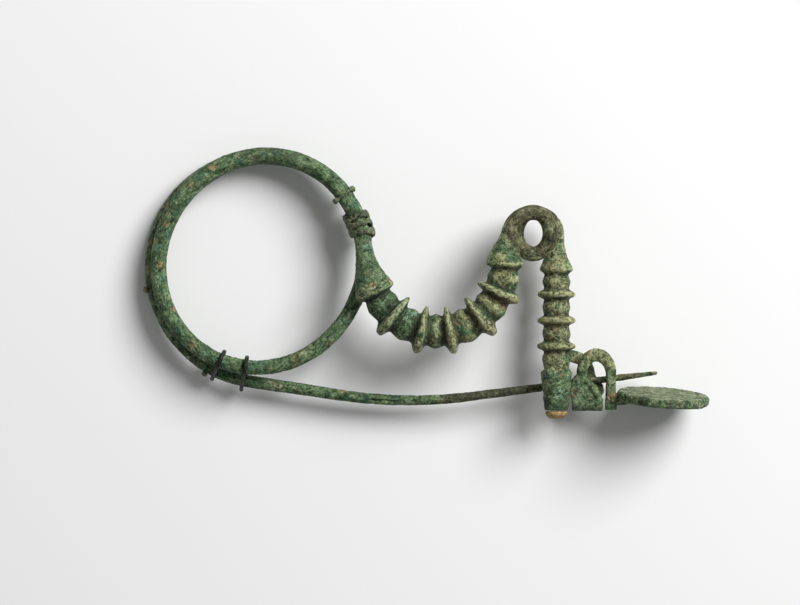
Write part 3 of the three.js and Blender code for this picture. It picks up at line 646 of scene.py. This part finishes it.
bow_grooves = [flare_one + rim_edge + 0.4, bow_finish - rim_edge - 0.4]
bow_grooves += [flare_one + at + side * (collar_edge / 2 + groove_beside_edge)
                for at in collars_at[1:-1] for side in (-1, 1)]
bow_route, bow_run = even(np.concatenate([first_flare, bow_arc[1:], second_flare[1:]]), bow_step)
bow_skin = turned_skin(bow_route, bow_run, bow_rows, bow_sides, bow_step, wobble=0.25)
bow = bar_object("beaded_bow", bow_route, bow_skin, bow_sides, bronze, relief=1.2, spread=9, drawn=1.4,
                 crevice_marks=lambda skin: groove_shade_beside(bow_run, bow_grooves, skin))
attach(bow, "root")
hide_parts("fibula")

# Small loop: above the leg the bar is drawn down thin again and wound one and a half times,
# smooth and browner than the rest.
loop_sides, loop_step = 48, 0.3
loop_route, loop_run = even(loop_turn, loop_step)
loop = bar_object("small_loop", loop_route, cone_radius(flare_two + loop_run), loop_sides, bronze,
                  relief=0.6, drawn=0.6)
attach(loop, "root")
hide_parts("fibula")

# Leg: it hangs straight from the loop, of the same turned bronze. It has a flared rim, three
# collars with keeled beads between them, and a tapering block whose lower end is broken off.
leg_rim_below_loop, leg_collar_pitch = 9.3, 6.93
leg_rim_diameter, leg_waist_diameter, leg_bead_diameter = 8.9, 6.6, 7.6
leg_collar_diameter, leg_collar_edge, leg_collars = 10.3, 1.5, 3
block_end_diameter, block_length = 6.5, 10.1
leg_sides, leg_step = 64, 0.24
block_top = leg_rim_below_loop + leg_collar_pitch * (leg_collars + 1)
leg_length = block_top + block_length
leg_top = loop_turn[-1]
leg_rim, leg_waist = leg_rim_diameter / 2, leg_waist_diameter / 2
block_wide, block_narrow = block_top_diameter / 2, block_end_diameter / 2
leg_rows = [(0, loop_bar / 2)]
leg_rows += [(leg_rim_below_loop * share, radius) for share, radius in
             ((0.3, loop_bar / 2 + 0.1), (0.65, loop_bar / 2 + 0.9), (0.9, leg_rim - 0.55), (1, leg_rim))]
leg_rows += [(leg_rim_below_loop + at, radius) for at, radius in
             ((rim_edge * 0.7, leg_rim - 0.1), (rim_edge, leg_waist + 0.2),
              (rim_edge + 0.6, leg_waist - 0.2))]
leg_grooves = [leg_rim_below_loop + rim_edge + 0.3, block_top - 0.5]
for i in range(leg_collars + 1):
    bead_at = leg_rim_below_loop + leg_collar_pitch * (i + 0.5)
    collar_at = leg_rim_below_loop + leg_collar_pitch * (i + 1)
    leg_rows.append((bead_at, leg_bead_diameter / 2))
    if i < leg_collars:
        leg_rows += collar_rows(collar_at, leg_collar_diameter, leg_collar_edge, leg_waist_diameter,
                                leg_collar_pitch / 2)
        leg_grooves += [collar_at + side * (leg_collar_edge / 2 + groove_beside_edge) for side in (-1, 1)]
leg_rows += [(block_top - 1.0, leg_waist), (block_top, block_wide), (block_top + 1.2, block_wide - 0.15),
             (block_top + block_length * 0.6, block_narrow + 0.2), (leg_length - 0.5, block_narrow),
             (leg_length, block_narrow - 0.35)]
leg_route, leg_run = even(np.stack([leg_top, leg_top - np.array([0, leg_length, 0])]), leg_step)
leg_skin = turned_skin(leg_route, leg_run, leg_rows, leg_sides, leg_step, wobble=0.15)
leg = bar_object("beaded_leg", leg_route, leg_skin, leg_sides, bronze, relief=1.2, spread=9, drawn=1.4,
                 crevice_marks=lambda skin: groove_shade_beside(leg_run, leg_grooves, skin))
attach(leg, "root")
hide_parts("fibula")

# Catch: a hammered strap leaves the back of the leg and widens into two plates, folded into a
# gutter that holds the pin. An arch of flattened bar rises from the front plate and comes down
# beside it.
plate_left = leg_x + 3.6
plate_width, plate_wall = 8.1, 1.5
plate_right = plate_left + plate_width
plate_top, plate_bottom = loop_y - 38.9, loop_y - 47.4
pin_at_catch = pin_point(np.array(plate_left + plate_width / 2 - pin_root[0]))
gutter_clearance = 0.4
gutter_radius = pin_radius(pin_length - (plate_left - pin_root[0])) + gutter_clearance
fold_y = plate_bottom + gutter_radius + plate_wall
front_z = pin_at_catch[2] + gutter_radius
back_z = pin_at_catch[2] - gutter_radius - plate_wall
catch_voxel, wear_rounds, even_rounds, forged_brown = 0.2, 3, 20, 0.38


def plate(outline, wall, z):
    """Points and faces of a flat plate with this outline."""
    count = len(outline)
    points = [(x, y, z) for x, y in outline] + [(x, y, z + wall) for x, y in outline]
    sides = [(i, (i + 1) % count, (i + 1) % count + count, i + count) for i in range(count)]
    return points, [tuple(range(count))[::-1], tuple(range(count, 2 * count))] + sides


def bar_part(route, radius, sides, flat=1.0):
    skin, _ = bent_bar(route, radius, sides, flat=flat)
    points = np.concatenate([skin.reshape(-1, 3), route[:1], route[-1:]])
    return points.tolist(), ring_faces(len(route), sides)


def through(knots, count=60):
    """A smooth route through a few points."""
    knots = np.array(knots, float)
    padded = np.concatenate([[2 * knots[0] - knots[1]], knots, [2 * knots[-1] - knots[-2]]])
    found = []
    for a, b, c, d in zip(padded, padded[1:], padded[2:], padded[3:]):
        t = np.linspace(0, 1, count // len(knots), endpoint=False)[:, None]
        bend, twist = 2 * a - 5 * b + 4 * c - d, 3 * b - a - 3 * c + d
        found.append(0.5 * (2 * b + (c - a) * t + bend * t ** 2 + twist * t ** 3))
    return np.concatenate([*found, knots[-1:]])


def forged(name, parts, voxel, finish, relief, pale):
    """Parts fused into one skin, with the edges worn round and the surface corroded."""
    rough = bpy.data.meshes.new(name + "_parts")
    points, faces = [], []
    for part_points, part_faces in parts:
        faces += [tuple(i + len(points) for i in face) for face in part_faces]
        points += list(part_points)
    rough.from_pydata(points, [], faces)
    blank = bpy.data.objects.new(name + "_parts", rough)
    bpy.context.scene.collection.objects.link(blank)
    face_outwards(rough)
    fuse = blank.modifiers.new("fuse", "REMESH")
    fuse.mode, fuse.voxel_size = "VOXEL", voxel
    wear = blank.modifiers.new("wear", "SMOOTH")
    wear.factor, wear.iterations = 0.5, wear_rounds
    fused = bpy.data.meshes.new_from_object(blank.evaluated_get(bpy.context.evaluated_depsgraph_get()))
    bpy.data.objects.remove(blank)
    count = len(fused.vertices)
    skin, out = np.empty(count * 3), np.empty(count * 3)
    fused.vertices.foreach_get("co", skin)
    fused.vertex_normals.foreach_get("vector", out)
    skin, out = skin.reshape(-1, 3), out.reshape(-1, 3)
    edges = np.empty(len(fused.edges) * 2, int)
    fused.edges.foreach_get("vertices", edges)
    skin = skin + out * (relief * corroded(skin))[:, None]
    a, b = edges.reshape(-1, 2).T
    neighbours = np.bincount(edges, minlength=count)
    even_skin = skin
    for _ in range(even_rounds):
        near = [np.bincount(a, axis[b], count) + np.bincount(b, axis[a], count) for axis in even_skin.T]
        even_skin = np.stack(near, 1) / neighbours[:, None]
    proud = ((skin - even_skin) * out).sum(axis=1)
    faces = [tuple(face.vertices) for face in fused.polygons]
    return skinned(name, skin, faces, skin, finish, proud=1.5 * (proud - np.median(proud)),
                   crevice=np.zeros(count), brown=np.full(count, forged_brown), pale=pale(skin))


# Both plates have their upper corners cut off, and the back one stands out to the right
front_plate = plate(
    [(plate_left + 0.5, fold_y), (plate_right + 0.9, fold_y), (plate_right - 0.9, plate_top - 1.6),
     (plate_right - 3.2, plate_top), (plate_left + 1.8, plate_top + 1.3),
     (plate_left - 0.2, plate_top - 1.2)],
    plate_wall, front_z)
back_plate = plate(
    [(plate_left + 1.2, fold_y), (plate_right, fold_y), (plate_right + 1.3, fold_y + 2.4),
     (plate_right + 1.0, plate_top - 1.6), (plate_right - 1.6, plate_top + 1.6),
     (plate_left + 2.4, plate_top + 1.6), (plate_left, plate_top - 0.9)],
    plate_wall, back_z)

# The gutter's fold runs a little to the right of the plates
fold_shift = 0.7
fold_turn = np.linspace(math.pi, 2 * math.pi, 17)
fold_walls = ((gutter_radius + plate_wall, fold_turn), (gutter_radius, fold_turn[::-1]))
fold_ring = [(reach * math.cos(t), reach * math.sin(t)) for reach, turns in fold_walls for t in turns]
fold_points = [(x + fold_shift, fold_y + y, pin_at_catch[2] - z)
               for x in (plate_left, plate_right) for z, y in fold_ring]
count = len(fold_ring)
fold_faces = [tuple(range(count)), tuple(range(count, 2 * count))[::-1]]
fold_faces += [(i, i + count, (i + 1) % count + count, (i + 1) % count) for i in range(count)]

# The plate's right edge is rolled over into a lip, set out from its top right corner
lip_radius = 0.72
lip_bottom = plate_bottom + 0.8 - plate_top
lip_offsets = [(-4.0, -0.4, 1.3), (-2.5, -1.3, 1.4), (-1.6, -2.9, 1.3), (-0.5, -5.2, 1.1),
               (0.3, lip_bottom, 0.5)]
lip_route = through(np.array([plate_right, plate_top, front_z]) + lip_offsets)
lip = bar_part(lip_route, np.full(len(lip_route), lip_radius), 16)

# The strap, here called the arm, goes back first and then across, in shares of its whole reach
arm_width, arm_thickness, arm_top = 3.4, 1.6, loop_y - 32.6
arm_path = [(0.05, -0.03, 0.3), (0.3, 0, 0.5), (0.5, 0.1, 0.82), (0.67, 0.3, 0.98), (0.77, 0.9, 1),
            (0.73, 1.44, 1)]
arm_start = np.array([leg_x, arm_top, leg_z])
arm_reach = np.array([plate_right, plate_top, back_z + plate_wall / 2]) - arm_start
arm_route = through(arm_start + arm_reach * np.array(arm_path))
arm = bar_part(arm_route, np.full(len(arm_route), arm_width / 2), 24, arm_thickness / arm_width)

arch_inset, arch_half_width, arch_height = 3.3, 3.85, 5.0
arch_bar_width, arch_bar_thickness, arch_leg_width = 3.5, 2.6, 3.2
arch_x = plate_left + arch_inset + arch_half_width
arch_y, arch_foot = loop_y - 37.4, loop_y - 47.0
arch_z = front_z + arch_bar_thickness / 2
arch_root, arch_root_sink, arch_root_rise = 2.5, 1.3, 4.5
arch_rise = math.pi * arch_half_width
arch_run = np.linspace(0, arch_root + arch_rise + arch_y - arch_foot, 120)
arch_turn = np.clip((arch_run - arch_root) / arch_rise, 0, 1) * math.pi
arch_below = np.clip(arch_run - arch_root - arch_rise, 0, None) + np.clip(arch_root - arch_run, 0, None)
arch_route = np.stack([
    arch_x - arch_half_width * np.cos(arch_turn),
    arch_y + arch_height * np.sin(arch_turn) - arch_below,
    arch_z - arch_root_sink * (1 - ease(arch_run, 0, arch_root_rise))], -1)
arch_share = arch_run / arch_run[-1]
arch_leg = np.interp(arch_share, [0, 0.05, 0.14, 0.35, 1], [4.4, 3.2, 2.1, 2.1, arch_leg_width])
arch_swell = np.sin(math.pi * np.minimum(1, arch_share / 0.7))
arch_widths = (arch_leg + (arch_bar_width - arch_leg) * arch_swell) / 2
arch = bar_part(arch_route, arch_widths, 28, arch_bar_thickness / arch_bar_width)


def pale_behind(skin):
    """Painted light: the back plate and the arm behind it are painted paler than the front, lifting the
    shade they lie in.
    """
    return 1.3 * (1 - ease(skin[:, 2], back_z + plate_wall, back_z + plate_wall + 0.8))


catch_parts = [front_plate, back_plate, (fold_points, fold_faces), lip, arm, arch]
catch = forged("catch_and_arch", catch_parts, catch_voxel, bronze, relief=1.0, pale=pale_behind)
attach(catch, "root")
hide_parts("fibula")

# Disc foot: a flat hammered disc, seen nearly edge on, on a short stem from the arch. It is of one
# piece with the arch, and its rim is worn and pitted.
disc_diameter, disc_thickness, disc_crown = 24.6, 2.7, 0.3
disc_x, disc_y = arch_x + arch_half_width + 13.95, loop_y - 43.9
disc_tilt, disc_droop = math.radians(7), math.radians(-4.4)
stem_diameter, disc_sides, foot_voxel = 3.4, 96, 0.22
disc_half, disc_radius = disc_thickness / 2, disc_diameter / 2
disc_rows = [(0.05, -disc_half), (disc_radius - 0.6, -disc_half + 0.1), (disc_radius, -disc_half + 0.7),
             (disc_radius, disc_half - 0.6), (disc_radius - 0.5, disc_half),
             (disc_radius - 1.6, disc_half - 0.1), (0.05, disc_half + disc_crown)]
disc_turn = 2 * math.pi * np.arange(disc_sides) / disc_sides
disc_skin = np.array([[(r * math.cos(t), y, r * math.sin(t)) for t in disc_turn] for r, y in disc_rows])
disc_ends = np.array([[0, disc_rows[0][1], 0], [0, disc_rows[-1][1], 0]])
tilt_cos, tilt_sin = math.cos(disc_tilt), math.sin(disc_tilt)
droop_cos, droop_sin = math.cos(disc_droop), math.sin(disc_droop)
tilt = np.array([[1, 0, 0], [0, tilt_cos, -tilt_sin], [0, tilt_sin, tilt_cos]])
droop = np.array([[droop_cos, -droop_sin, 0], [droop_sin, droop_cos, 0], [0, 0, 1]])
disc_set = droop @ tilt
disc_middle = np.array([disc_x, disc_y, arch_z])
disc_points = np.concatenate([disc_skin.reshape(-1, 3), disc_ends]) @ disc_set.T + disc_middle
disc = (disc_points.tolist(), ring_faces(len(disc_rows), disc_sides))
stem_start, stem_into_disc, stem_drop = arch_x + arch_half_width, 4.5, 0.4
stem_route, stem_run = even(np.array([[stem_start, disc_y - stem_drop, arch_z],
                                      [disc_x - disc_radius + stem_into_disc, disc_y, arch_z]]), 0.4)
stem_widths = np.interp(stem_run / stem_run[-1], [0.6, 1], [stem_diameter / 2, disc_half * 0.8])


def painted_lit_top(skin):
    """Painted light: the disc's top face is painted paler than its rim, as if lit from above."""
    upright = (skin - disc_middle) @ disc_set
    return ease(upright[:, 1], disc_half - 0.35, disc_half - 0.1)


foot_parts = [disc, bar_part(stem_route, stem_widths, 28)]
foot = forged("disc_foot", foot_parts, foot_voxel, bronze, relief=1.1, pale=painted_lit_top)
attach(foot, "root")
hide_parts("fibula")

# Fill: a tan, earthy filler, matt and crumbly, which closes the leg's broken end and bulges below
# it as a rough dome.
fill_diameter, fill_length, fill_clearance = 5.9, 2.0, 0.3
fill_at = [0, fill_length * 0.2, fill_length * 0.55, fill_length * 0.92, fill_length]
fill_rows = [fill_diameter * 0.48, fill_diameter / 2, fill_diameter * 0.45, fill_diameter * 0.3, 0.05]
fill_top = leg_route[-1] - [0, fill_clearance, 0]
fill_route, fill_run = even(np.stack([fill_top, fill_top - [0, fill_length, 0]]), 0.12)
fill_widths = np.interp(fill_run, fill_at, fill_rows)


def filler(name):
    """Matt ochre filler with brown and pale crumbs, and painted shade in its hollows."""
    material, maker, place, shader = new_finish(name)
    crumb = maker.speckle(place, 0.9, 5, 0.7, 2.2)
    fine = maker.speckle(place, 0.3, 3, 0.6, 5.2)
    colour = (0.6 * crumb + 0.4 * fine).ramp(
        (0.36, (0.080, 0.045, 0.012)), (0.48, (0.250, 0.160, 0.050)), (0.58, (0.480, 0.340, 0.140)),
        (0.68, (0.700, 0.580, 0.340)))
    # Painted shade: darker where the filler's skin sinks below its mean
    edge = (0.5 - 1.6 * maker.mark("proud") - 0.8 * crumb).between(0.2, 0.8)
    colour = (0.6 * edge).mix(colour, (0.060, 0.040, 0.015))
    bump = (crumb + fine).bump(0.7, 0.0003)
    plug(maker, shader, Base_Color=colour, Roughness=0.8 + 0.1 * fine, Normal=bump)
    return material


fill = bar_object("leg_end_filler", fill_route, fill_widths, 48, filler("tan_fill_skin"), relief=1.0)
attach(fill, "root")
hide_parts("end_fill")

# Tie wires: flat bronze wires wound round the coils to hold them together. Four are swollen and
# green with corrosion, and of two of these only a stub on the back coil is left. The two at the
# bottom are nearly black.
tie_thickness, tie_clearance, broken_tie_lean = 0.9, 0.25, math.radians(70)
tie_sides, tie_step = 16, 0.16


def tie_route(angle, turns, lead, both):
    """Middle of a tie wire and the way out from the coils along it."""
    outer = (spring_reach(angle + 360), spring_height(angle + 360))
    inner = (spring_reach(angle), spring_height(angle)) if both else outer
    thickest = max(spring_bar_radius(angle + 360), spring_bar_radius(angle) if both else 0)
    wrap = thickest + tie_clearance + tie_thickness / 2
    span = math.hypot(outer[0] - inner[0], outer[1] - inner[1])
    lean = math.atan2(outer[1] - inner[1], outer[0] - inner[0]) if both else -broken_tie_lean
    half = math.pi * wrap
    around = 2 * (half + span)
    length = around * turns
    start = (1.5 * half + span if both else half / 2) - length / 2
    distance = np.linspace(0, length, int(length / tie_step) + 1)
    rest = (start + distance) % around
    round_inner = rest > half + span
    on_straight = np.where(round_inner, rest - 2 * half - span, rest - half)
    slide = np.clip(on_straight, 0, span) * np.where(round_inner, -1, 1)
    bend = np.where(round_inner, np.minimum(rest - span, 2 * half), np.minimum(rest, half))
    turn = lean + bend / wrap - math.pi / 2
    centre_reach = np.where(round_inner, inner[0], outer[0])
    centre_height = np.where(round_inner, inner[1], outer[1])
    way = math.radians(angle) + lead * turns * (distance / length - 0.5) / spring_radius
    reach = centre_reach + wrap * np.cos(turn) - slide * math.cos(lean)
    height = centre_height + wrap * np.sin(turn) - slide * math.sin(lean)
    route = np.stack([reach * np.cos(way), reach * np.sin(way), height], -1)
    out = np.stack([np.cos(turn) * np.cos(way), np.cos(turn) * np.sin(way), np.sin(turn)], -1)
    tangent = unit(np.gradient(route, axis=0))
    return route, unit(out - tangent * (out * tangent).sum(axis=1, keepdims=True))


def wire_finish(name, dark, middle, pale, gloss):
    """Corroded wire: a crust of two tones with pale crumbs, and painted shade in its hollows."""
    material, maker, place, shader = new_finish(name)
    crust = maker.speckle(place, 1.3, 5, 0.7, 3.3)
    crumb = maker.speckle(place, 0.4, 4, 0.65, 6.6)
    colour = (0.5 * crust + 0.5 * crumb).ramp((0.38, dark), (0.52, middle), (0.66, pale))
    # Painted shade: near black where the wire's skin sinks below its mean
    hollow_shade = (0.6 - 2.2 * maker.mark("proud") - 0.8 * crumb).between(0.1, 0.8)
    colour = (0.85 * hollow_shade).mix(colour, (0.008, 0.008, 0.005))
    bump = (crust + crumb).bump(0.7, 0.0003)
    shader.inputs["Specular IOR Level"].default_value = 0.3
    plug(maker, shader, Base_Color=colour, Roughness=gloss + 0.2 * crumb, Normal=bump)
    return material


green_wire = wire_finish(
    "corroded_wire_skin", (0.012, 0.018, 0.007), (0.115, 0.140, 0.070), (0.460, 0.480, 0.320), 0.45)
olive_wire = wire_finish(
    "olive_wire_skin", (0.030, 0.028, 0.009), (0.140, 0.140, 0.060), (0.360, 0.350, 0.200), 0.45)
black_wire = wire_finish(
    "dark_wire_skin", (0.003, 0.003, 0.002), (0.007, 0.008, 0.005), (0.030, 0.034, 0.023), 0.2)
# Part, piece, angle, turns, way along the coils in each turn, round both coils, finish, slot,
# relief, width, and the share of the thickness worn away towards the viewer
ties = [
    ("coil_tie_upper", "upper_tie_wire", 39, 0.97, 0.6, True, green_wire, "corroded_wire", 1.6, 1.4, 0.75),
    ("coil_tie_wound", "wound_tie_wire", 21, 3.1, 2.2, True, green_wire, "corroded_wire", 2.1, 2.3, 0.4),
    ("coil_tie_left", "left_tie_stub", 193, 0.66, 1.2, False, olive_wire, "corroded_wire", 1.3, 1.5, 0),
    ("coil_tie_low", "low_tie_stub", 242.6, 0.66, 0.8, False, green_wire, "corroded_wire", 1.3, 1.5, 0),
    ("coil_tie_dark_1", "dark_tie_wire_left", 247.4, 0.97, 0.5, True, black_wire, "dark_wire", 0.5, 1.1, 0),
    ("coil_tie_dark_2", "dark_tie_wire_right", 261.3, 0.97, 0.5, True, black_wire, "dark_wire", 0.5, 1.1, 0),
]
for node, name, angle, turns, lead, both, finish, slot, relief, width, worn_away in ties:
    route, out = tie_route(angle, turns, lead, both)
    on_top = ease(out[:, 2], 0.55, 0.95)
    radius = tie_thickness / 2 * (1 - worn_away * on_top)
    route = route - out * (worn_away * (tie_clearance + tie_thickness / 2) * on_top)[:, None]
    radius[0] = radius[-1] = tie_thickness / 4
    tie = bar_object(name, route, radius, tie_sides, finish, relief, out, width / tie_thickness, 5)
    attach(tie, "root")
    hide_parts(node)

# Floor: a plain white sheet of paper, smooth and matt. It goes on far past the brooch, which lies
# on it.
bpy.ops.mesh.primitive_plane_add(size=6)
floor = bpy.context.object
floor.name = "white_surface"
material, maker, place, shader = new_finish("white_surface_paper")
tone = maker.speckle(place, 400.0, 1, 0.4, 1.0)
plug(maker, shader, Base_Color=tone.ramp((0.3, (0.86, 0.86, 0.86)), (0.7, (0.89, 0.89, 0.89))))
shader.inputs["Roughness"].default_value = 0.9
shader.inputs["Specular IOR Level"].default_value = 0.1
floor.data.materials.append(material)

# Light: one large soft window to the upper right, as the photo's shadows show, and a pale room that
# fills the shadows.
view_normal = lying_turn @ Vector((0, 0, 1))
view_right = lying_turn @ Vector((1, 0, 0))
view_up = lying_turn @ Vector((0, 1, 0))
middle = Vector(laid(np.array([[36.85, -10.81, 0.0]]))[0])
light_distance, light_size, light_energy, room_strength = 1.4, 0.85, 25.5, 0.23
light_right, light_up, light_rise = 0.77, 0.64, math.radians(43)
light_side = view_right * light_right + view_up * light_up
light_way = light_side * math.cos(light_rise) + view_normal * math.sin(light_rise)
lamp = bpy.data.lights.new("soft_window", "AREA")
lamp.shape, lamp.size, lamp.energy = "DISK", light_size, light_energy
lamp_object = bpy.data.objects.new("soft_window", lamp)
lamp_object.location = middle + light_way * light_distance
lamp_object.rotation_mode = "QUATERNION"
lamp_object.rotation_quaternion = light_way.to_track_quat("Z", "Y")
bpy.context.scene.collection.objects.link(lamp_object)
room = bpy.data.worlds.new("pale_room")
room.use_nodes = True
background = room.node_tree.nodes["Background"]
background.inputs["Color"].default_value = (1, 1, 1, 1)
background.inputs["Strength"].default_value = room_strength
bpy.context.scene.world = room
bpy.context.scene.view_settings.view_transform = "Standard"

# Camera: it looks straight down on the brooch's own plane, from far off with a long lens, so that
# hardly anything tapers away.
photo_width, lens, sensor = 0.2124, 300, 36
camera_data = bpy.data.cameras.new("camera")
camera_data.lens, camera_data.sensor_width = lens, sensor
camera_data.clip_end = 20
camera = bpy.data.objects.new("camera", camera_data)
camera.rotation_mode = "QUATERNION"
camera.rotation_quaternion = lying_turn
camera.location = middle + view_normal * photo_width * lens / sensor
bpy.context.scene.collection.objects.link(camera)
bpy.context.scene.camera = camera
